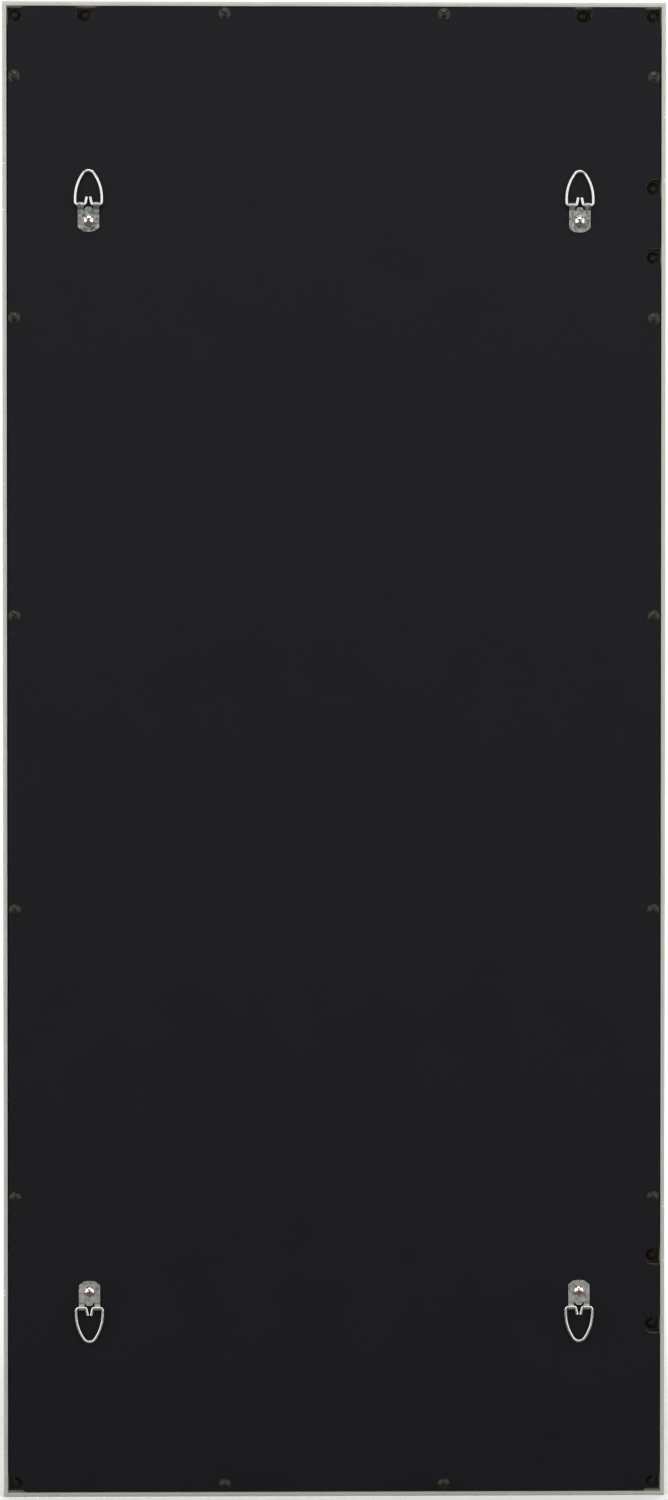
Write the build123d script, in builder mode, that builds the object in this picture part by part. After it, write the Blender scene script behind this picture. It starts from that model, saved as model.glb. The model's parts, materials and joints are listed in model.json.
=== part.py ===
from build123d import *
from math import asin, atan2, cos, degrees, hypot, sin
import os

os.makedirs("parts", exist_ok=True)

# A wall mirror in a mitred metal frame, divided like a window, with its backing board and hangers.
# Millimetres. X runs to the right as seen from the front, Y to the rear, Z up.
# The origin is the centre of the backing board's rear face.
# Left and right in the names are as seen from the front.

# Overall size
FRAME_WIDTH = 508.0
FRAME_HEIGHT = 1146.0
FRAME_DEPTH = 25.0

# Section of the frame
WALL = 3.2                  # outer wall, seen from behind as the rim
RIM_ROUND = 1.5             # rounding of the rim's outer edge
FRONT_ROUND = 1.0           # rounding of the front's outer edge
FACE_WIDTH = 16.0           # front face, from the outer edge to the glass opening
FACE_THICKNESS = 1.8
BEAD_WALL = 1.8             # wall that runs back from the front face to the glass
BEAD_ROUND = 0.7
LEDGE_WIDTH = 18.0          # inner ledge that takes the screws, from the outer edge
LEDGE_THICKNESS = 2.0

# Glass, tape and backing board, from front to rear
GLASS_THICKNESS = 4.0
GLASS_INSET = 12.0          # glass edge from the frame's outer edge
GLASS_BEVEL = 0.6
TAPE_THICKNESS = 1.0
TAPE_WIDTH = 5.0
BOARD_THICKNESS = 9.0
BOARD_RECESS = 0.5          # rim stands proud of the board by this
BOARD_GAP = 1.1             # dark gap round the board

# Window bars
COLUMNS = 3
ROWS = 5
BAR_WIDTH = 12.0
BAR_THICKNESS = 6.5
BAR_BEVEL = 0.8
LAP_CLEARANCE = 0.05

# Corner keys and blocks in the frame's hollow
KEY_LEG = 42.0              # leg of a corner key, from the frame's outer corner
KEY_WIDTH = 8.0
KEY_THICKNESS = 8.0
KEY_CLEARANCE = 0.2
BLOCK_LENGTH = 22.0
BLOCK_CLEARANCE = 0.2
SETTING_BLOCK_LENGTH = 30.0
SETTING_BLOCK_OUT = 43.0    # its middle, outward from the bottom board screw beside it

# Black screws with a flanged pan head
SCREW_INSET = 9.0           # screw axis from the frame's outer edge
SCREW_SHANK = 3.5
SCREW_LENGTH = 14.0         # board screws, under the head
SHORT_SCREW_LENGTH = 9.0    # screws driven into the ledge, under the head
SCREW_FLANGE = 9.2
SCREW_FLANGE_THICKNESS = 0.8
SCREW_HEAD = 6.6
SCREW_HEAD_SIDE = 0.5       # straight side of the head above the flange
SCREW_HEAD_HEIGHT = 2.4
SCREW_POINT = 2.5
TURN_STEP = 37.0            # each screw stops this much further round than the last
CROSS_SPAN = 4.4            # cross recess, from tip to tip
CROSS_WIDTH = 0.9
CROSS_DEPTH = 1.3
SCREW_CLEARANCE = 0.25      # round a shank in a clearance hole
THREAD_CLEARANCE = 0.05     # round a shank in the hole that it grips

# Screw places, from the frame's top edge or from its sides
SIDE_SCREWS_DOWN = (57.0, 241.5, 469.5, 695.0, 916.0)
END_SCREW_IN = 170.0        # two screws at each end of the board, from the sides
TOP_BLOCK_IN = 63.0         # two blocks in the top rail, from the sides
SIDE_BLOCK_SPREAD = 53.0    # pair of blocks beside each row of hangers

# Cut-outs in the board round the ledge screws
NOTCH_RADIUS = 6.4
NOTCH_SLACK = 1.7           # extra width of the wider notch, to its left

# Hangers
HANGER_IN = 66.0            # hanger axis from the frame's side
HANGER_DOWN = 167.3         # upper hanger screws from the frame's top
HANGER_UP = 157.8           # lower hanger screws from the frame's bottom
STRAP_WIDTH = 16.2
STRAP_SHEET = 0.8
STRAP_TAIL = 8.4            # screw to the rounded end
STRAP_CROWN = 9.2           # width of the end's shallow arc, between its cut corners
STRAP_CROWN_RISE = 0.7
STRAP_CORNER_RISE = 3.3     # from the top of the arc back to where the straight sides begin
STRAP_CORNER_ROUND = 1.5
KNUCKLE_REACH = 12.1        # screw to the axis of the wire
KNUCKLE_WIDTH = 4.2
KNUCKLE_CLEARANCE = 0.15    # round the wire
JOGGLE_LENGTH = 3.9         # from where the sheet leaves its plane to the wire's axis
JOGGLE_BEND = 0.8
ROLL_END_ANGLE = 82.0       # the roll ends this far below the sheet's plane
TONGUE_BASE = 7.0
TONGUE_TIP = 3.2
TONGUE_STANDOFF = 1.6       # tongue tip to the axis of the wire
WIRE = 2.2
RING_WIDTH = 22.6           # outside
RING_REACH = 27.2           # axis of the straight runs to the outside of the arch
RING_BEND = 2.4             # at the foot of each side, on the wire's axis
RING_SIDE = 5.0             # where the side starts to lean in
RING_TIP_RADIUS = 5.2
RING_TAIL_BEND = 1.6
RING_TAIL_START = 3.9       # where the straight run ends, from the middle
RING_TAIL_LENGTH = 4.7
RING_TAIL_LEAN = 12.0
HANGER_SCREW_SHANK = 3.5
HANGER_SCREW_LENGTH = 9.0
HANGER_SCREW_HEAD = 9.0
HANGER_SCREW_DOME = 2.9
HANGER_SCREW_RIM = 0.5
UPPER_SCREW_TURN = 45.0     # how far round the cross stands on the upper and the lower hangers
LOWER_SCREW_TURN = 6.0
RING_REST_GAP = 0.3         # between an upper ring's arch and the board that it leans on

# Depths along Y
RIM_Y = BOARD_RECESS
FRONT_Y = RIM_Y - FRAME_DEPTH
BOARD_FRONT_Y = -BOARD_THICKNESS
LEDGE_FRONT_Y = BOARD_FRONT_Y - LEDGE_THICKNESS
TAPE_FRONT_Y = LEDGE_FRONT_Y - TAPE_THICKNESS
GLASS_FRONT_Y = TAPE_FRONT_Y - GLASS_THICKNESS
BAR_FRONT_Y = GLASS_FRONT_Y - BAR_THICKNESS
LAP_Y = (GLASS_FRONT_Y + BAR_FRONT_Y) / 2

HALF_WIDTH = FRAME_WIDTH / 2
HALF_HEIGHT = FRAME_HEIGHT / 2
BOARD_EDGE = WALL + BOARD_GAP
HANGER_TOP_Z = HALF_HEIGHT - HANGER_DOWN
HANGER_BOTTOM_Z = HANGER_UP - HALF_HEIGHT

REAR = Vector(0, 1, 0)
CORNERS = {
    "top_left": (-1, 1),
    "top_right": (1, 1),
    "bottom_left": (-1, -1),
    "bottom_right": (1, -1),
}


def facing(y):
    """Drawing plane at depth y: X across, Z up. A positive extrusion runs to the front."""
    return Plane.XZ.offset(-y)


def turned(plane, x=0, y=0, z=0):
    """The plane turned about its own axes, in degrees, with its origin kept."""
    return Plane(plane.location * Rotation(x, y, z))


def save(builder, name):
    """Label one finished piece and write it."""
    builder.part.label = name
    export_step(builder.part, f"parts/{name}.step")


def corner_point(sx, sz, across, down):
    """Point inside one corner, by its distances from the frame's outer edges."""
    return (sx * (HALF_WIDTH - across), sz * (HALF_HEIGHT - down))


# Screw places as (x, z) pairs
side_heights = [HALF_HEIGHT - down for down in SIDE_SCREWS_DOWN]
end_screws_x = (END_SCREW_IN - HALF_WIDTH, HALF_WIDTH - END_SCREW_IN)
board_screws = {
    "left": [(SCREW_INSET - HALF_WIDTH, z) for z in side_heights],
    "right": [(HALF_WIDTH - SCREW_INSET, z) for z in side_heights],
    "top": [(x, HALF_HEIGHT - SCREW_INSET) for x in end_screws_x],
    "bottom": [(x, SCREW_INSET - HALF_HEIGHT) for x in end_screws_x],
}
corner_screws = [corner_point(*signs, SCREW_INSET, SCREW_INSET) for signs in CORNERS.values()]
top_block_screws = [
    (side * (HALF_WIDTH - TOP_BLOCK_IN), HALF_HEIGHT - SCREW_INSET) for side in (-1, 1)
]
side_block_screws = [
    (SCREW_INSET - HALF_WIDTH, row + side * SIDE_BLOCK_SPREAD / 2)
    for row in (HANGER_TOP_Z, HANGER_BOTTOM_Z)
    for side in (-1, 1)
]
all_board_screws = [place for group in board_screws.values() for place in group]
ledge_screws = corner_screws + top_block_screws + side_block_screws


# Frame sections: one profile, extruded along each side and mitred at both ends
def frame_section(name, middle, inward, length):
    along = inward.cross(REAR)
    section_plane = Plane(origin=middle, x_dir=inward, z_dir=along)
    with BuildPart() as rail:
        with BuildSketch(section_plane) as section:
            with BuildLine():
                Polyline(
                    (0, FRONT_Y),
                    (FACE_WIDTH, FRONT_Y),
                    (FACE_WIDTH, GLASS_FRONT_Y),
                    (FACE_WIDTH - BEAD_WALL, GLASS_FRONT_Y),
                    (FACE_WIDTH - BEAD_WALL, FRONT_Y + FACE_THICKNESS),
                    (WALL, FRONT_Y + FACE_THICKNESS),
                    (WALL, LEDGE_FRONT_Y),
                    (LEDGE_WIDTH, LEDGE_FRONT_Y),
                    (LEDGE_WIDTH, BOARD_FRONT_Y),
                    (WALL, BOARD_FRONT_Y),
                    (WALL, RIM_Y),
                    (0, RIM_Y),
                    close=True,
                )
            make_face()
            outer = section.vertices().group_by(Axis.X)[0].sort_by(Axis.Y)
            fillet(outer[-1], RIM_ROUND)
            fillet(section.vertices().group_by(Axis.Y)[0].sort_by(Axis.X)[0], FRONT_ROUND)
            fillet(section.vertices().group_by(Axis.Y)[0].sort_by(Axis.X)[-1], BEAD_ROUND)
        extrude(amount=length / 2, both=True)
        for side in (-1, 1):
            corner = middle + along * (side * length / 2)
            split(bisect_by=Plane(origin=corner, z_dir=along * side + inward), keep=Keep.BOTTOM)
        with BuildSketch(facing(BOARD_FRONT_Y)):
            with Locations(*all_board_screws, *ledge_screws):
                Circle(SCREW_SHANK / 2 + THREAD_CLEARANCE)
        extrude(amount=LEDGE_THICKNESS, mode=Mode.SUBTRACT)
    save(rail, name)


frame_section("bottom_rail", Vector(0, 0, -HALF_HEIGHT), Vector(0, 0, 1), FRAME_WIDTH)
frame_section("top_rail", Vector(0, 0, HALF_HEIGHT), Vector(0, 0, -1), FRAME_WIDTH)
frame_section("left_stile", Vector(-HALF_WIDTH, 0, 0), Vector(1, 0, 0), FRAME_HEIGHT)
frame_section("right_stile", Vector(HALF_WIDTH, 0, 0), Vector(-1, 0, 0), FRAME_HEIGHT)

# Corner keys: L-shaped bars against the ledge, each held by one screw
key_outer = WALL + KEY_CLEARANCE
key_inner = key_outer + KEY_WIDTH
for corner_name, (sx, sz) in CORNERS.items():
    outline = [
        (key_outer, key_outer),
        (KEY_LEG, key_outer),
        (KEY_LEG, key_inner),
        (key_inner, key_inner),
        (key_inner, KEY_LEG),
        (key_outer, KEY_LEG),
    ]
    with BuildPart() as corner_key:
        with BuildSketch(facing(LEDGE_FRONT_Y)):
            with BuildLine():
                Polyline(*[corner_point(sx, sz, *point) for point in outline], close=True)
            make_face()
            with Locations(corner_point(sx, sz, SCREW_INSET, SCREW_INSET)):
                Circle(SCREW_SHANK / 2 + THREAD_CLEARANCE, mode=Mode.SUBTRACT)
        extrude(amount=KEY_THICKNESS)
    save(corner_key, f"corner_key_{corner_name}")

# Mirror glass, clamped between the bead and the taped ledge
with BuildPart() as mirror_glass:
    with BuildSketch(facing(TAPE_FRONT_Y)):
        Rectangle(FRAME_WIDTH - 2 * GLASS_INSET, FRAME_HEIGHT - 2 * GLASS_INSET)
    extrude(amount=GLASS_THICKNESS)
    chamfer(mirror_glass.faces().sort_by(Axis.Y)[0].edges(), GLASS_BEVEL)
save(mirror_glass, "mirror_glass")

# Glazing tape on the ledge: full strips at top and bottom, shorter ones at the sides
tape_middle = (GLASS_INSET + LEDGE_WIDTH) / 2
tape_span_x = FRAME_WIDTH - 2 * (tape_middle - TAPE_WIDTH / 2)
tape_span_z = FRAME_HEIGHT - 2 * (tape_middle + TAPE_WIDTH / 2)
tapes = {
    "top": ((0, HALF_HEIGHT - tape_middle), (tape_span_x, TAPE_WIDTH)),
    "bottom": ((0, tape_middle - HALF_HEIGHT), (tape_span_x, TAPE_WIDTH)),
    "left": ((tape_middle - HALF_WIDTH, 0), (TAPE_WIDTH, tape_span_z)),
    "right": ((HALF_WIDTH - tape_middle, 0), (TAPE_WIDTH, tape_span_z)),
}
for side_name, (centre, size) in tapes.items():
    with BuildPart() as tape:
        with BuildSketch(facing(LEDGE_FRONT_Y)):
            with Locations(centre):
                Rectangle(*size)
        extrude(amount=TAPE_THICKNESS)
    save(tape, f"glazing_tape_{side_name}")

# Blocks in the frame's hollow, between the outer wall and the edge of the glass
block_width = GLASS_INSET - WALL - 2 * BLOCK_CLEARANCE
block_inset = (GLASS_INSET + WALL) / 2


def block_group(name, places, size, screws):
    with BuildPart() as blocks:
        with BuildSketch(facing(LEDGE_FRONT_Y)):
            with Locations(*places):
                Rectangle(*size)
            if screws:
                with Locations(*screws):
                    Circle(SCREW_SHANK / 2 + THREAD_CLEARANCE, mode=Mode.SUBTRACT)
        extrude(amount=KEY_THICKNESS)
    save(blocks, name)


block_group(
    "top_edge_blocks",
    [(x, HALF_HEIGHT - block_inset) for x, z in top_block_screws],
    (BLOCK_LENGTH, block_width),
    top_block_screws,
)
block_group(
    "side_edge_blocks",
    [(block_inset - HALF_WIDTH, z) for x, z in side_block_screws],
    (block_width, BLOCK_LENGTH),
    side_block_screws,
)

# Setting blocks: they fill the space under the glass and carry its weight
with BuildPart() as setting_blocks:
    with BuildSketch(facing(LEDGE_FRONT_Y)):
        with Locations(*[
            (side * (HALF_WIDTH - END_SCREW_IN + SETTING_BLOCK_OUT), block_inset - HALF_HEIGHT)
            for side in (-1, 1)
        ]):
            Rectangle(SETTING_BLOCK_LENGTH, GLASS_INSET - WALL)
    extrude(amount=KEY_THICKNESS)
save(setting_blocks, "setting_blocks")

# Window bars: uprights run through in front, cross bars run through behind
opening_width = FRAME_WIDTH - 2 * FACE_WIDTH
opening_height = FRAME_HEIGHT - 2 * FACE_WIDTH
upright_x = [opening_width * (column / COLUMNS - 0.5) for column in range(1, COLUMNS)]
cross_z = [opening_height * (0.5 - row / ROWS) for row in range(1, ROWS)]
lap_size = BAR_WIDTH + 2 * LAP_CLEARANCE


def window_bar(name, centre, size, lap_places, lap_plane, lap_depth):
    with BuildPart() as bar:
        with BuildSketch(facing(GLASS_FRONT_Y)):
            with Locations(centre):
                Rectangle(*size)
        extrude(amount=BAR_THICKNESS)
        long_axis = Axis.X if size[0] > size[1] else Axis.Z
        front = bar.faces().sort_by(Axis.Y)[0]
        chamfer(front.edges().filter_by(long_axis), BAR_BEVEL)
        with BuildSketch(lap_plane):
            with Locations(*lap_places):
                Rectangle(lap_size, lap_size)
        extrude(amount=lap_depth, mode=Mode.SUBTRACT)
    save(bar, name)


for bar_name, x in zip(("left", "right"), upright_x):
    window_bar(
        f"upright_bar_{bar_name}",
        (x, 0),
        (BAR_WIDTH, opening_height),
        [(x, z) for z in cross_z],
        facing(GLASS_FRONT_Y),
        GLASS_FRONT_Y - LAP_Y,
    )
for bar_number, z in enumerate(cross_z, start=1):
    window_bar(
        f"cross_bar_{bar_number}",
        (0, z),
        (opening_width, BAR_WIDTH),
        [(x, z) for x in upright_x],
        facing(LAP_Y),
        LAP_Y - BAR_FRONT_Y,
    )

# Hanger geometry. In the sheet's own frame Y runs to the ring, Z out of the sheet, and the
# screw hole is at the origin. The wire's axis lies in the middle plane of the sheet, so the
# rolled knuckles lift that end off the board and the whole hanger tilts on its tail.
wire_radius = WIRE / 2
roll_inner = wire_radius + KNUCKLE_CLEARANCE
roll_middle = roll_inner + STRAP_SHEET / 2
roll_outer = roll_inner + STRAP_SHEET
tail_to_wire = KNUCKLE_REACH + STRAP_TAIL
tilt = asin(roll_outer / hypot(tail_to_wire, STRAP_SHEET / 2)) - atan2(STRAP_SHEET / 2, tail_to_wire)
sheet_height = STRAP_TAIL * sin(tilt) + STRAP_SHEET / 2 * cos(tilt)
arch_reach = RING_REACH - wire_radius
ring_lean = asin((roll_outer - wire_radius - RING_REST_GAP) / arch_reach)

hangers = {}
for hanger_name, (sx, sz) in CORNERS.items():
    z = HANGER_TOP_Z if sz > 0 else HANGER_BOTTOM_Z
    seat = Plane(
        origin=(sx * (HALF_WIDTH - HANGER_IN), 0, z),
        x_dir=(-sz, 0, 0),
        z_dir=(0, 1, 0),
    )
    sheet_plane = turned(seat.offset(sheet_height), x=degrees(tilt))
    hangers[hanger_name] = (sz, seat, sheet_plane)

# Backing board with its cut-outs and holes
with BuildPart() as backing_board:
    with BuildSketch(facing(0)):
        Rectangle(FRAME_WIDTH - 2 * BOARD_EDGE, FRAME_HEIGHT - 2 * BOARD_EDGE)
        notch_depth = SCREW_INSET + NOTCH_RADIUS
        with Locations(*[(sx * HALF_WIDTH, sz * HALF_HEIGHT) for sx, sz in CORNERS.values()]):
            RectangleRounded(2 * notch_depth, 2 * notch_depth, NOTCH_RADIUS, mode=Mode.SUBTRACT)
        with Locations(*[(-HALF_WIDTH, z) for x, z in side_block_screws]):
            SlotOverall(2 * notch_depth, 2 * NOTCH_RADIUS, mode=Mode.SUBTRACT)
        with Locations(*[(x, HALF_HEIGHT) for x, z in top_block_screws]):
            SlotOverall(2 * notch_depth, 2 * NOTCH_RADIUS, rotation=90, mode=Mode.SUBTRACT)
        with Locations((HALF_WIDTH - TOP_BLOCK_IN - NOTCH_SLACK, HALF_HEIGHT)):
            SlotOverall(2 * notch_depth, 2 * NOTCH_RADIUS, rotation=90, mode=Mode.SUBTRACT)
        with Locations(*all_board_screws):
            Circle(SCREW_SHANK / 2 + SCREW_CLEARANCE, mode=Mode.SUBTRACT)
    extrude(amount=BOARD_THICKNESS)
    for sz, seat, sheet_plane in hangers.values():
        with BuildSketch(sheet_plane.offset(STRAP_SHEET / 2)):
            Circle(HANGER_SCREW_SHANK / 2 + THREAD_CLEARANCE)
        extrude(amount=-HANGER_SCREW_LENGTH, mode=Mode.SUBTRACT)
save(backing_board, "backing_board")


# Screws have their axis on Z, seat on Z = 0, and have a domed head with a cross recess
def domed_screw(length, shank, flanks, height):
    """Flanks are the (radius, height) corners of the head, from its seat to the foot of the dome."""
    with BuildPart() as screw:
        with BuildSketch(Plane.XZ):
            with BuildLine():
                Polyline(
                    (0, height),
                    (0, -length),
                    (shank / 2, SCREW_POINT - length),
                    (shank / 2, 0),
                    *flanks,
                )
                TangentArc((0, height), flanks[-1], tangent=(1, 0))
            make_face()
        revolve(axis=Axis.Z)
        with BuildSketch(Plane.XY.offset(height)):
            Rectangle(CROSS_SPAN, CROSS_WIDTH)
            Rectangle(CROSS_WIDTH, CROSS_SPAN)
        extrude(amount=-CROSS_DEPTH, mode=Mode.SUBTRACT)
    return screw.part


def flanged_screw(length):
    """Black screw: a pan head on a thin flange."""
    flanks = [
        (SCREW_FLANGE / 2, 0),
        (SCREW_FLANGE / 2, SCREW_FLANGE_THICKNESS / 2),
        (SCREW_HEAD / 2, SCREW_FLANGE_THICKNESS),
        (SCREW_HEAD / 2, SCREW_FLANGE_THICKNESS + SCREW_HEAD_SIDE),
    ]
    return domed_screw(length, SCREW_SHANK, flanks, SCREW_HEAD_HEIGHT)


def screw_group(name, places, seat_y, screw):
    seats = [
        turned(Plane(origin=(x, seat_y, z), x_dir=(1, 0, 0), z_dir=(0, 1, 0)), z=TURN_STEP * turn)
        for turn, (x, z) in enumerate(places, start=1)
    ]
    with BuildPart() as group:
        with Locations(*seats):
            add(screw)
    save(group, name)


board_screw = flanged_screw(SCREW_LENGTH)
ledge_screw = flanged_screw(SHORT_SCREW_LENGTH)
for side_name, places in board_screws.items():
    screw_group(f"board_screws_{side_name}", places, 0, board_screw)
screw_group("corner_screws", corner_screws, BOARD_FRONT_Y, ledge_screw)
screw_group("top_block_screws", top_block_screws, BOARD_FRONT_Y, ledge_screw)
screw_group("side_block_screws", side_block_screws, BOARD_FRONT_Y, ledge_screw)

# Hanger strap: flat sheet with a rounded end, a tongue, and two knuckles rolled round the wire.
# Each knuckle leaves the sheet's plane at the shoulder, on the line that touches its roll.
strap_half = STRAP_WIDTH / 2
shoulder = KNUCKLE_REACH - JOGGLE_LENGTH
joggle_rise = asin(roll_middle / JOGGLE_LENGTH)
roll_start = (KNUCKLE_REACH - roll_middle * sin(joggle_rise), roll_middle * cos(joggle_rise))
roll_start_angle = 90 + degrees(joggle_rise)
with BuildPart() as strap_shape:
    with BuildSketch(Plane.XY.offset(-STRAP_SHEET / 2)) as strap_plan:
        with BuildLine():
            crown = ThreePointArc(
                (-STRAP_CROWN / 2, STRAP_CROWN_RISE - STRAP_TAIL),
                (0, -STRAP_TAIL),
                (STRAP_CROWN / 2, STRAP_CROWN_RISE - STRAP_TAIL),
            )
            Polyline(
                crown @ 1,
                (strap_half, STRAP_CORNER_RISE - STRAP_TAIL),
                (strap_half, shoulder),
                (TONGUE_BASE / 2, shoulder),
                (TONGUE_TIP / 2, KNUCKLE_REACH - TONGUE_STANDOFF),
                (-TONGUE_TIP / 2, KNUCKLE_REACH - TONGUE_STANDOFF),
                (-TONGUE_BASE / 2, shoulder),
                (-strap_half, shoulder),
                (-strap_half, STRAP_CORNER_RISE - STRAP_TAIL),
                crown @ 0,
            )
        make_face()
        fillet(strap_plan.vertices().sort_by(Axis.Y)[:4], STRAP_CORNER_ROUND)
        Circle(HANGER_SCREW_SHANK / 2 + SCREW_CLEARANCE, mode=Mode.SUBTRACT)
    extrude(amount=STRAP_SHEET)
    for side in (-1, 1):
        with BuildSketch(Plane.YZ.offset(side * (strap_half - KNUCKLE_WIDTH / 2))):
            with BuildLine():
                FilletPolyline(
                    (shoulder - JOGGLE_BEND, 0),
                    (shoulder, 0),
                    roll_start,
                    radius=JOGGLE_BEND,
                )
                CenterArc(
                    (KNUCKLE_REACH, 0), roll_middle, roll_start_angle, -roll_start_angle - ROLL_END_ANGLE
                )
            trace(line_width=STRAP_SHEET)
        extrude(amount=KNUCKLE_WIDTH / 2, both=True)

# Hanger ring: wire bent to a pointed arch, with both ends turned into the loop. In its own frame
# the straight runs lie on X. The sides are arcs that touch the tip's arc, so their radius follows.
half_ring = RING_WIDTH / 2 - wire_radius
tip_centre = arch_reach - RING_TIP_RADIUS
side_rise = tip_centre - RING_SIDE
side_radius = (half_ring**2 - RING_TIP_RADIUS**2 + side_rise**2) / (2 * (half_ring - RING_TIP_RADIUS))
side_turn = degrees(atan2(side_rise, side_radius - half_ring))
with BuildPart() as ring_shape:
    with BuildLine() as ring_path:
        tail_bend = CenterArc(
            (RING_TAIL_START, RING_TAIL_BEND), RING_TAIL_BEND, -90, RING_TAIL_LEAN - 90
        )
        PolarLine(tail_bend @ 1, RING_TAIL_LENGTH, 90 + RING_TAIL_LEAN)
        Line((RING_TAIL_START, 0), (half_ring - RING_BEND, 0))
        CenterArc((half_ring - RING_BEND, RING_BEND), RING_BEND, -90, 90)
        Line((half_ring, RING_BEND), (half_ring, RING_SIDE))
        CenterArc((half_ring - side_radius, RING_SIDE), side_radius, 0, side_turn)
        CenterArc((0, tip_centre), RING_TIP_RADIUS, side_turn, 90 - side_turn)
        mirror(about=Plane.YZ)
    ring_wire = ring_path.wires()[0]
    with BuildSketch(Plane(origin=ring_wire @ 0, z_dir=ring_wire % 0)):
        Circle(wire_radius)
    sweep(path=ring_wire)

# Hanger screw: polished head, all dome above a thin rim
hanger_screw_flanks = [(HANGER_SCREW_HEAD / 2, 0), (HANGER_SCREW_HEAD / 2, HANGER_SCREW_RIM)]
hanger_screw_shape = domed_screw(
    HANGER_SCREW_LENGTH, HANGER_SCREW_SHANK, hanger_screw_flanks, HANGER_SCREW_DOME
)

# The four hangers. The lower straps are fixed the other way round, rolls to the board.
for hanger_name, (sz, seat, sheet_plane) in hangers.items():
    strap_plane = turned(sheet_plane, y=0 if sz > 0 else 180)
    with BuildPart() as strap:
        with Locations(strap_plane):
            add(strap_shape.part)
    save(strap, f"hanger_strap_{hanger_name}")

    wire_axis = sheet_plane.from_local_coords(Vector(0, KNUCKLE_REACH, 0))
    lean = degrees(ring_lean) if sz > 0 else 0
    ring_plane = turned(Plane(origin=wire_axis, x_dir=seat.x_dir, z_dir=seat.z_dir), x=-lean)
    with BuildPart() as ring:
        with Locations(ring_plane):
            add(ring_shape.part)
    save(ring, f"hanger_ring_{hanger_name}")

    screw_turn = UPPER_SCREW_TURN if sz > 0 else LOWER_SCREW_TURN
    with BuildPart() as hanger_screw:
        with Locations(turned(sheet_plane.offset(STRAP_SHEET / 2), z=screw_turn)):
            add(hanger_screw_shape)
    save(hanger_screw, f"hanger_screw_{hanger_name}")
    print(f"{hanger_name}: wire axis at {wire_axis}, ring leans {lean:.2f} degrees")
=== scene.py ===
import json
import math

import bmesh
import bpy
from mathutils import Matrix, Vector


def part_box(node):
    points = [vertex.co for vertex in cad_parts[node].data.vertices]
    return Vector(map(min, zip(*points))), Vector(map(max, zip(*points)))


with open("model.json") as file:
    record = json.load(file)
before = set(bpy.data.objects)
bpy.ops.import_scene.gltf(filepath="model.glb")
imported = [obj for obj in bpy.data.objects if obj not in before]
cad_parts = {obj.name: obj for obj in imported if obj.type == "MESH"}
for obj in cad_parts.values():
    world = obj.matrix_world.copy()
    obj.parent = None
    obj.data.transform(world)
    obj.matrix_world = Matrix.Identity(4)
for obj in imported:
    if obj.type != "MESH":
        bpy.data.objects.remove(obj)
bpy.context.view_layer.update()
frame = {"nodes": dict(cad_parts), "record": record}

MM = 0.001

# Camera: the photograph shows the back. Its place and aim come from the four corners of the frame.
CAMERA_PLACE = (0.0340, 2.65, 0.0340)
CAMERA_AIM = (0.0003, 0.0, 0.0008)
SENSOR_HEIGHT = 36.0
FOCAL_LENGTH = 82.93

# Light
WORLD_FILL = 0.30           # what matte surfaces see of the white room
BACKGROUND = 1.0            # what the camera and glass see of it
FLOOR_HALF = 8.0
FLOOR_DROP = 0.2 * MM       # from the mirror's lower edge down to the floor
FLOOR_LIFT = (0.12, 0.75)   # whitens the floor for the camera alone, near the mirror and far from it
FLOOR_FADE = (0.4, 2.4)     # distances between which it turns from one to the other
STUDIO_RADIUS = 6.0
BACK_BOX_DISTANCE = 2.4
BACK_BOX_AZIMUTH = 47.0     # of the two big softboxes at the mirror's back, to either side of the camera
BACK_BOX_ELEVATION = 15.0
BACK_BOX_SIZE = (3.2, 3.0)
BACK_BOX_POWER = 36.0
FRONT_BOX_PLACE = (1.6, -2.2, 0.5)
FRONT_BOX_SIZE = (0.9, 1.6)
FRONT_BOX_POWER = 14.0
TOP_BOX_PLACE = (0, 1.0, 2.1)
TOP_BOX_AIM = (0, 0, 0.2)
TOP_BOX_SIZE = (1.6, 0.8)
TOP_BOX_POWER = 16.0

# Places in the frame, in metres, read from the CAD nodes
_, rail_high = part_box("top_rail")
stile_low, stile_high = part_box("left_stile")
board_low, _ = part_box("backing_board")
HALF_WIDTH = rail_high.x
HALF_HEIGHT = stile_high.z
FLOOR_Z = stile_low.z
BOARD_FRONT = board_low.y

# Depths at which a piece changes its look
WALL = 3.2 * MM                     # of the frame, seen as its rim
RECESS_EDGE = 1.03 * WALL           # from the frame's outside to where the painted shade in its recess begins
RECESS_FRONT = 1.7 * BOARD_FRONT    # inside the rim, painted shade darkens the frame from here to the wall
BOARD_FACE = 0.35 * MM              # from the board's faces to where only its cut edges are left

# Small nicks in the rim, each with a painted glint, as the side (1 is the photograph's left) and the
# height in mm
NICK_GLINTS = (
    (1, 449.4), (1, 414.0), (1, -414.6), (1, -417.7),
    (-1, 485.5), (-1, 437.1), (-1, -350.1), (-1, -391.6),
)
NICK_GLINT_HALF = 0.55 * MM


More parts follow.
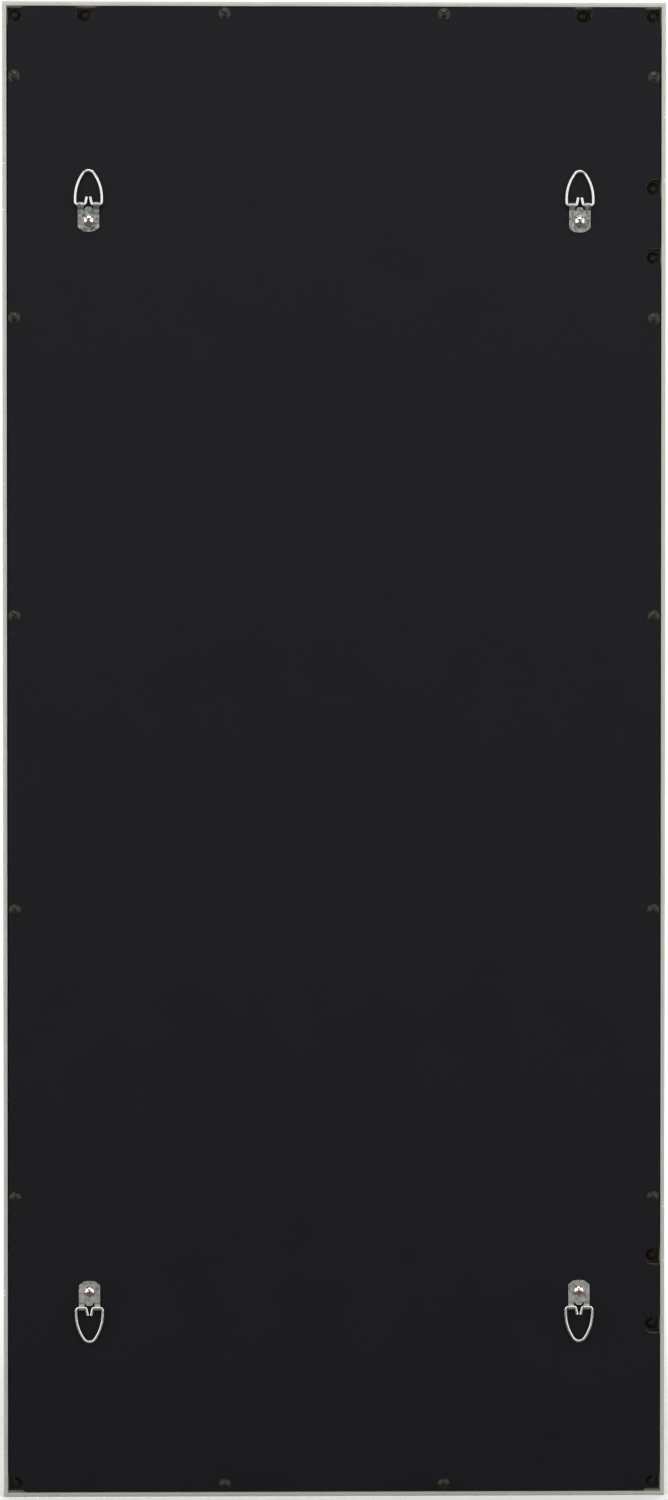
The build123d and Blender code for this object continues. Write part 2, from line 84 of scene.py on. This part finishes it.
# Materials made of nodes
class Finish:
    """A node material. Its pattern follows the part's own coordinates, in metres."""

    def __init__(self, name, colour, roughness, **sockets):
        self.material = bpy.data.materials.new(name)
        self.material.use_nodes = True
        self.tree = self.material.node_tree
        self.shader = self.tree.nodes["Principled BSDF"]
        self.shader.inputs["Base Color"].default_value = (*colour, 1)
        self.shader.inputs["Roughness"].default_value = roughness
        for socket, value in sockets.items():
            label = socket.replace("_", " ").title().replace("Ior", "IOR")
            self.shader.inputs[label].default_value = value
        self.place = self.tree.nodes.new("ShaderNodeTexCoord").outputs["Object"]

    def add(self, kind, *links, **values):
        """A node with its inputs linked in order. Values set its own properties."""
        node = self.tree.nodes.new(kind)
        for key, value in values.items():
            setattr(node, key, value)
        for socket, link in zip(node.inputs, links):
            self.feed(socket, link)
        return node

    def feed(self, socket, value):
        """Links the input to another node's output, or sets its value."""
        if isinstance(value, bpy.types.NodeSocket):
            self.tree.links.new(value, socket)
        elif value is not None:
            socket.default_value = value

    def axes(self):
        """The place's X, Y and Z."""
        return self.add("ShaderNodeSeparateXYZ", self.place).outputs

    def maths(self, operation, first, second=None):
        """The result of one operation on one or two values."""
        return self.add("ShaderNodeMath", first, second, operation=operation).outputs[0]

    def stretched(self, scale):
        """The place, scaled by a different amount along each axis."""
        return self.add("ShaderNodeVectorMath", self.place, scale, operation="MULTIPLY").outputs[0]

    def noise(self, size, detail=3.0, stretch=(1, 1, 1)):
        """Soft noise from 0 to 1, whose patches are about size metres across."""
        node = self.add("ShaderNodeTexNoise", self.stretched(stretch))
        node.inputs["Scale"].default_value = 1 / size
        node.inputs["Detail"].default_value = detail
        return node.outputs["Fac"]

    def spangle(self, size, stretch=(1, 1, 1)):
        """Flat-coloured cells from 0 to 1, about size metres across."""
        node = self.add("ShaderNodeTexVoronoi", self.stretched(stretch))
        node.inputs["Scale"].default_value = 1 / size
        return self.add("ShaderNodeSeparateColor", node.outputs["Color"]).outputs[0]

    def edges(self, radius):
        """1 along edges, 0 on faces that are further than radius metres from one."""
        bevel = self.add("ShaderNodeBevel", radius, samples=6)
        flat = self.add("ShaderNodeNewGeometry").outputs["Normal"]
        same = self.add("ShaderNodeVectorMath", bevel.outputs[0], flat, operation="DOT_PRODUCT")
        return self.ramp(same.outputs["Value"], 0.97, 0.80, 0.0, 1.0)

    def ramp(self, value, low, high, start, end):
        """Value between low and high turns evenly into start to end."""
        return self.add("ShaderNodeMapRange", value, low, high, start, end).outputs[0]

    def mix(self, factor, first, second):
        """Colour from first at 0 to second at 1."""
        node = self.add("ShaderNodeMix", data_type="RGBA")
        self.feed(node.inputs[0], factor)
        for socket, colour in ((node.inputs[6], first), (node.inputs[7], second)):
            self.feed(socket, (*colour, 1) if isinstance(colour, tuple) else colour)
        return node.outputs[2]

    def colour(self, value):
        self.feed(self.shader.inputs["Base Color"], value)

    def roughness(self, value):
        self.feed(self.shader.inputs["Roughness"], value)

    def bump(self, height, depth, strength=1.0):
        """Relief of up to depth metres, laid over any relief that is already there."""
        node = self.add("ShaderNodeBump")
        node.inputs["Strength"].default_value = strength
        node.inputs["Distance"].default_value = depth
        self.feed(node.inputs["Height"], height)
        normal = self.shader.inputs["Normal"]
        if normal.is_linked:
            self.feed(node.inputs["Normal"], normal.links[0].from_socket)
        self.feed(normal, node.outputs["Normal"])


def frame_finish():
    """Satin champagne-silver metal with a few nicks, each with a painted glint, and painted shade inside
    the board's recess.
    """
    finish = Finish("frame_metal", (0.47, 0.475, 0.425), 0.38, metallic=0.25)
    grain = finish.noise(0.35 * MM, 2.0)
    patches = finish.noise(18 * MM, 4.0)
    x, y, z = finish.axes()
    pale = finish.mix(patches, (0.44, 0.445, 0.395), (0.51, 0.515, 0.465))
    pale = finish.mix(finish.ramp(grain, 0.35, 0.75, 0.0, 0.3), pale, (0.38, 0.385, 0.345))
    nick_glints = 0.0
    for side, height in NICK_GLINTS:
        above = finish.maths("SUBTRACT", z, height * MM)
        near = finish.maths("LESS_THAN", finish.maths("ABSOLUTE", above), NICK_GLINT_HALF)
        outward = finish.maths("MULTIPLY", x, float(side))
        beside = finish.maths("GREATER_THAN", outward, HALF_WIDTH - WALL / 2)
        nick_glints = finish.maths("MAXIMUM", nick_glints, finish.maths("MULTIPLY", near, beside))
    # Each nick is a pale dash across the rim: partly real wear, partly a painted glint.
    pale = finish.mix(nick_glints, pale, (0.74, 0.74, 0.71))
    # Painted shade inside the board's recess: the frame is made dark brown there, with patches.
    inside_x = finish.maths("LESS_THAN", finish.maths("ABSOLUTE", x), HALF_WIDTH - RECESS_EDGE)
    inside_z = finish.maths("LESS_THAN", finish.maths("ABSOLUTE", z), HALF_HEIGHT - RECESS_EDGE)
    deep = finish.maths("GREATER_THAN", y, RECESS_FRONT)
    shaded_recess = finish.maths("MULTIPLY", finish.maths("MULTIPLY", inside_x, inside_z), deep)
    dark = finish.mix(patches, (0.010, 0.009, 0.007), (0.034, 0.027, 0.019))
    finish.colour(finish.mix(shaded_recess, pale, dark))
    finish.roughness(finish.ramp(patches, 0.3, 0.7, 0.30, 0.44))
    finish.bump(grain, 0.02 * MM, 0.5)
    finish.bump(patches, 0.06 * MM, 0.4)
    return finish.material


def key_finish():
    """Mill-finish metal with lines along its height."""
    finish = Finish("key_metal", (0.55, 0.55, 0.54), 0.45, metallic=1.0)
    lines = finish.noise(0.5 * MM, 2.0, (1, 1, 0.1))
    finish.colour(finish.mix(lines, (0.48, 0.48, 0.47), (0.62, 0.62, 0.61)))
    finish.bump(lines, 0.02 * MM, 0.6)
    return finish.material


def mirror_finish():
    """Silvered glass: a clear reflection with a cool cast and the faintest ripple."""
    finish = Finish("mirror", (0.86, 0.89, 0.885), 0.012, metallic=1.0)
    haze = finish.noise(60 * MM, 3.0)
    finish.colour(finish.mix(haze, (0.84, 0.875, 0.868), (0.88, 0.905, 0.90)))
    finish.roughness(finish.ramp(haze, 0.3, 0.7, 0.006, 0.02))
    finish.bump(finish.noise(220 * MM, 1.0), 0.05 * MM, 0.05)
    return finish.material


def board_finish():
    """Fibreboard with a matte bluish-black face: paper grain, faint mottling and a few specks."""
    finish = Finish("board", (0.0068, 0.0063, 0.0091), 0.60, specular_ior_level=0.15)
    mottle = finish.noise(45 * MM, 5.0)
    fibres = finish.noise(1.3 * MM, 3.0, (1, 1, 0.45))
    grain = finish.noise(0.5 * MM, 2.0)
    _, y, _ = finish.axes()
    face = finish.mix(mottle, (0.0057, 0.0053, 0.0077), (0.0080, 0.0074, 0.0106))
    face = finish.mix(finish.ramp(fibres, 0.55, 0.8, 0.0, 0.5), face, (0.013, 0.0122, 0.0162))
    specks = finish.noise(2.6 * MM, 1.0)
    face = finish.mix(finish.ramp(specks, 0.80, 0.84, 0.0, 1.0), face, (0.06, 0.057, 0.058))
    core = finish.mix(fibres, (0.085, 0.066, 0.048), (0.20, 0.165, 0.125))
    cut = finish.maths(
        "MULTIPLY",
        finish.maths("LESS_THAN", y, -BOARD_FACE),
        finish.maths("GREATER_THAN", y, BOARD_FRONT + BOARD_FACE),
    )
    finish.colour(finish.mix(cut, face, core))
    finish.roughness(finish.ramp(mottle, 0.3, 0.7, 0.54, 0.66))
    finish.bump(grain, 0.03 * MM, 0.5)
    finish.bump(fibres, 0.05 * MM, 0.4)
    return finish.material


def foam_finish(name, colour, cell):
    """Dull foam or rubber with cells about cell metres across."""
    finish = Finish(name, colour, 0.85)
    cells = finish.noise(cell, 3.0)
    finish.colour(finish.mix(cells, tuple(0.7 * c for c in colour), tuple(1.4 * c for c in colour)))
    finish.bump(cells, 0.1 * MM, 0.7)
    return finish.material


def black_screw_finish():
    """Black oxide on steel: dark, with a gloss, and brown edges that are partly wear and partly a painted
    highlight.
    """
    finish = Finish("black_screw", (0.016, 0.015, 0.014), 0.28, metallic=0.5)
    film = finish.noise(1.2 * MM, 4.0)
    worn = finish.ramp(film, 0.4, 0.75, 0.0, 1.0)
    tone = finish.mix(worn, (0.014, 0.012, 0.010), (0.050, 0.038, 0.026))
    # Lighter brown edges: partly wear, partly a painted highlight on the head's rim.
    finish.colour(finish.mix(finish.edges(0.22 * MM), tone, (0.15, 0.12, 0.09)))
    finish.roughness(finish.ramp(film, 0.3, 0.7, 0.20, 0.36))
    finish.bump(finish.noise(0.3 * MM, 2.0), 0.02 * MM, 0.5)
    return finish.material


def zinc_finish():
    """Zinc-plated sheet: grey-green, mottled, with painted highlights on its edges. Painted shade makes
    the upper pair darker.
    """
    finish = Finish("strap_zinc", (0.55, 0.57, 0.53), 0.34, metallic=0.9)
    cloud = finish.noise(2.4 * MM, 4.0)
    flake = finish.spangle(1.1 * MM, (1, 1, 0.8))
    scratch = finish.noise(0.35 * MM, 2.0, (1, 1, 0.15))
    tone = finish.mix(finish.ramp(cloud, 0.3, 0.7, 0.0, 1.0), (0.36, 0.39, 0.35), (0.68, 0.70, 0.66))
    tone = finish.mix(finish.ramp(flake, 0.0, 1.0, 0.0, 0.5), tone, (0.80, 0.82, 0.79))
    # Painted shade: the upper pair of straps is made darker and more mottled than the lower pair.
    _, _, z = finish.axes()
    shaded_upper_pair =finish.maths("GREATER_THAN", z, 0.0)
    upper_painted_shade = finish.mix(finish.ramp(cloud, 0.38, 0.62, 0.0, 1.0), (0.13, 0.15, 0.16), (0.50, 0.56, 0.52))
    tone = finish.mix(finish.maths("MULTIPLY", shaded_upper_pair, 0.75), tone, upper_painted_shade)
    # Painted highlight: the strap's edges are made near white.
    finish.colour(finish.mix(finish.edges(0.6 * MM), tone, (0.94, 0.94, 0.93)))
    finish.roughness(finish.ramp(cloud, 0.3, 0.7, 0.24, 0.42))
    finish.bump(scratch, 0.02 * MM, 0.6)
    finish.bump(flake, 0.03 * MM, 0.35)
    finish.bump(cloud, 0.10 * MM, 0.5)
    return finish.material


def wire_finish():
    """Bright plated wire, drawn, with a thin film on it."""
    finish = Finish("ring_wire", (0.86, 0.86, 0.85), 0.2, metallic=0.9)
    film = finish.noise(2.4 * MM, 3.0)
    drawn = finish.noise(0.3 * MM, 2.0, (1, 1, 0.2))
    finish.colour(finish.mix(film, (0.78, 0.78, 0.77), (0.94, 0.94, 0.93)))
    finish.roughness(finish.ramp(film, 0.3, 0.7, 0.16, 0.3))
    finish.bump(drawn, 0.01 * MM, 0.5)
    return finish.material


def bright_screw_finish():
    """Polished plating with a warm cast."""
    finish = Finish("bright_screw", (0.78, 0.75, 0.73), 0.12, metallic=1.0)
    film = finish.noise(1.5 * MM, 3.0)
    finish.colour(finish.mix(film, (0.74, 0.70, 0.68), (0.90, 0.87, 0.85)))
    finish.roughness(finish.ramp(film, 0.3, 0.7, 0.07, 0.16))
    finish.bump(film, 0.02 * MM, 0.3)
    return finish.material


metal = frame_finish()
FINISHES = {
    "frame_metal": metal,
    "bar_metal": metal,
    "key_metal": key_finish(),
    "mirror": mirror_finish(),
    "board": board_finish(),
    "tape": foam_finish("tape", (0.03, 0.03, 0.03), 0.6 * MM),
    "block_rubber": foam_finish("block_rubber", (0.04, 0.04, 0.04), 1.5 * MM),
    "strap_zinc": zinc_finish(),
    "ring_wire": wire_finish(),
    "bright_screw": bright_screw_finish(),
    "black_screw": black_screw_finish(),
}


def dress(node, finish):
    """Gives a CAD node its finish."""
    node.data.materials.clear()
    node.data.materials.append(finish)
    for face in node.data.polygons:
        face.material_index = 0


for part in frame["record"]["subparts"]:
    dress(frame["nodes"][part["node"]], FINISHES[part["material_slot"]])


# Floor, studio and light
def stage_object(name, build, material):
    """Turns a built mesh into an object of the stage, which isn't part of the mirror."""
    mesh = bpy.data.meshes.new(name)
    build.to_mesh(mesh)
    build.free()
    thing = bpy.data.objects.new(name, mesh)
    bpy.context.scene.collection.objects.link(thing)
    mesh.materials.append(material)
    return thing


def floor():
    """A pale floor that takes the shadow. Its glow, for the camera alone, fades it into the background."""
    finish = Finish("floor_pale", (0.93, 0.93, 0.925), 0.8)
    seen = finish.add("ShaderNodeLightPath").outputs["Is Camera Ray"]
    finish.feed(finish.shader.inputs["Emission Color"], (1, 1, 1, 1))
    away = finish.add("ShaderNodeVectorMath", finish.stretched((1, 1, 0)), operation="LENGTH")
    lift = finish.ramp(away.outputs["Value"], *FLOOR_FADE, *FLOOR_LIFT)
    finish.feed(finish.shader.inputs["Emission Strength"], finish.maths("MULTIPLY", seen, lift))
    finish.bump(finish.noise(4 * MM, 2.0), 0.05 * MM, 0.2)
    build = bmesh.new()
    bmesh.ops.create_grid(build, x_segments=2, y_segments=2, size=FLOOR_HALF)
    bmesh.ops.translate(build, vec=(0, 0, FLOOR_Z - FLOOR_DROP), verts=build.verts)
    stage_object("floor", build, finish.material).visible_glossy = False


def studio_around():
    """What only reflections see: a dark studio behind the mirror and a pale room in front of it."""
    finish = Finish("studio_around", (0, 0, 0), 1.0, specular_ior_level=0.0, emission_strength=1.0)
    _, y, z = finish.axes()
    dark =finish.mix(finish.ramp(z, -2.5, 0.5, 0.0, 1.0), (0.16, 0.12, 0.10), (0.070, 0.066, 0.065))
    pale = finish.mix(finish.ramp(z, -1.5, 2.5, 0.0, 1.0), (0.90, 0.90, 0.89), (0.42, 0.47, 0.52))
    around = finish.mix(finish.ramp(y, -0.6, 0.6, 0.0, 1.0), pale, dark)
    finish.feed(finish.shader.inputs["Emission Color"], around)
    build = bmesh.new()
    bmesh.ops.create_uvsphere(build, u_segments=48, v_segments=24, radius=STUDIO_RADIUS)
    thing = stage_object("studio_around", build, finish.material)
    thing.visible_camera = False
    thing.visible_diffuse = False
    thing.visible_transmission = False
    thing.visible_volume_scatter = False
    thing.visible_shadow = False


def facing(place, aim):
    """The rotation that points a light or a camera from place to aim."""
    return (Vector(aim) - Vector(place)).to_track_quat("-Z", "Y").to_euler()


def softbox(name, place, aim, size, power):
    """A rectangular light that the camera doesn't see."""
    light = bpy.data.lights.new(name, "AREA")
    light.shape = "RECTANGLE"
    light.size, light.size_y = size
    light.energy = power
    lamp = bpy.data.objects.new(name, light)
    lamp.location = place
    lamp.rotation_euler = facing(place, aim)
    lamp.visible_camera = False
    bpy.context.scene.collection.objects.link(lamp)


def softboxes():
    """Two big boxes that light the mirror's back, two small ones for its front and one above it."""
    azimuth, elevation = math.radians(BACK_BOX_AZIMUTH), math.radians(BACK_BOX_ELEVATION)
    front_x, front_y, front_z = FRONT_BOX_PLACE
    for side_name, side in (("left", 1), ("right", -1)):
        back_place = BACK_BOX_DISTANCE * Vector((
            side * math.cos(elevation) * math.sin(azimuth),
            math.cos(elevation) * math.cos(azimuth),
            math.sin(elevation),
        ))
        front_place = (side * front_x, front_y, front_z)
        softbox(f"back_{side_name}_box", back_place, (0, 0, 0), BACK_BOX_SIZE, BACK_BOX_POWER)
        softbox(f"front_{side_name}_box", front_place, (0, 0, 0), FRONT_BOX_SIZE, FRONT_BOX_POWER)
    softbox("top_box", TOP_BOX_PLACE, TOP_BOX_AIM, TOP_BOX_SIZE, TOP_BOX_POWER)


def white_room():
    """A white world. Matte surfaces see it dimmer than the camera, reflections and glass do."""
    world = bpy.data.worlds.new("white_room")
    bpy.context.scene.world = world
    world.use_nodes = True
    tree = world.node_tree
    path = tree.nodes.new("ShaderNodeLightPath")
    seen = path.outputs["Is Camera Ray"]
    for kind in ("Is Glossy Ray", "Is Transmission Ray"):
        larger = tree.nodes.new("ShaderNodeMath")
        larger.operation = "MAXIMUM"
        tree.links.new(seen, larger.inputs[0])
        tree.links.new(path.outputs[kind], larger.inputs[1])
        seen = larger.outputs[0]
    level = tree.nodes.new("ShaderNodeMapRange")
    tree.links.new(seen, level.inputs["Value"])
    level.inputs["To Min"].default_value = WORLD_FILL
    level.inputs["To Max"].default_value = BACKGROUND
    back = tree.nodes["Background"]
    back.inputs["Color"].default_value = (1, 1, 1, 1)
    tree.links.new(level.outputs["Result"], back.inputs["Strength"])


def photo_camera():
    """The camera, where the photograph was taken from."""
    lens = bpy.data.cameras.new("camera")
    lens.sensor_fit = "VERTICAL"
    lens.sensor_height = SENSOR_HEIGHT
    lens.lens = FOCAL_LENGTH
    camera = bpy.data.objects.new("camera", lens)
    camera.location = CAMERA_PLACE
    camera.rotation_euler = facing(CAMERA_PLACE, CAMERA_AIM)
    bpy.context.scene.collection.objects.link(camera)
    bpy.context.scene.camera = camera


white_room()
floor()
studio_around()
softboxes()
photo_camera()
bpy.context.scene.view_settings.view_transform = "Standard"
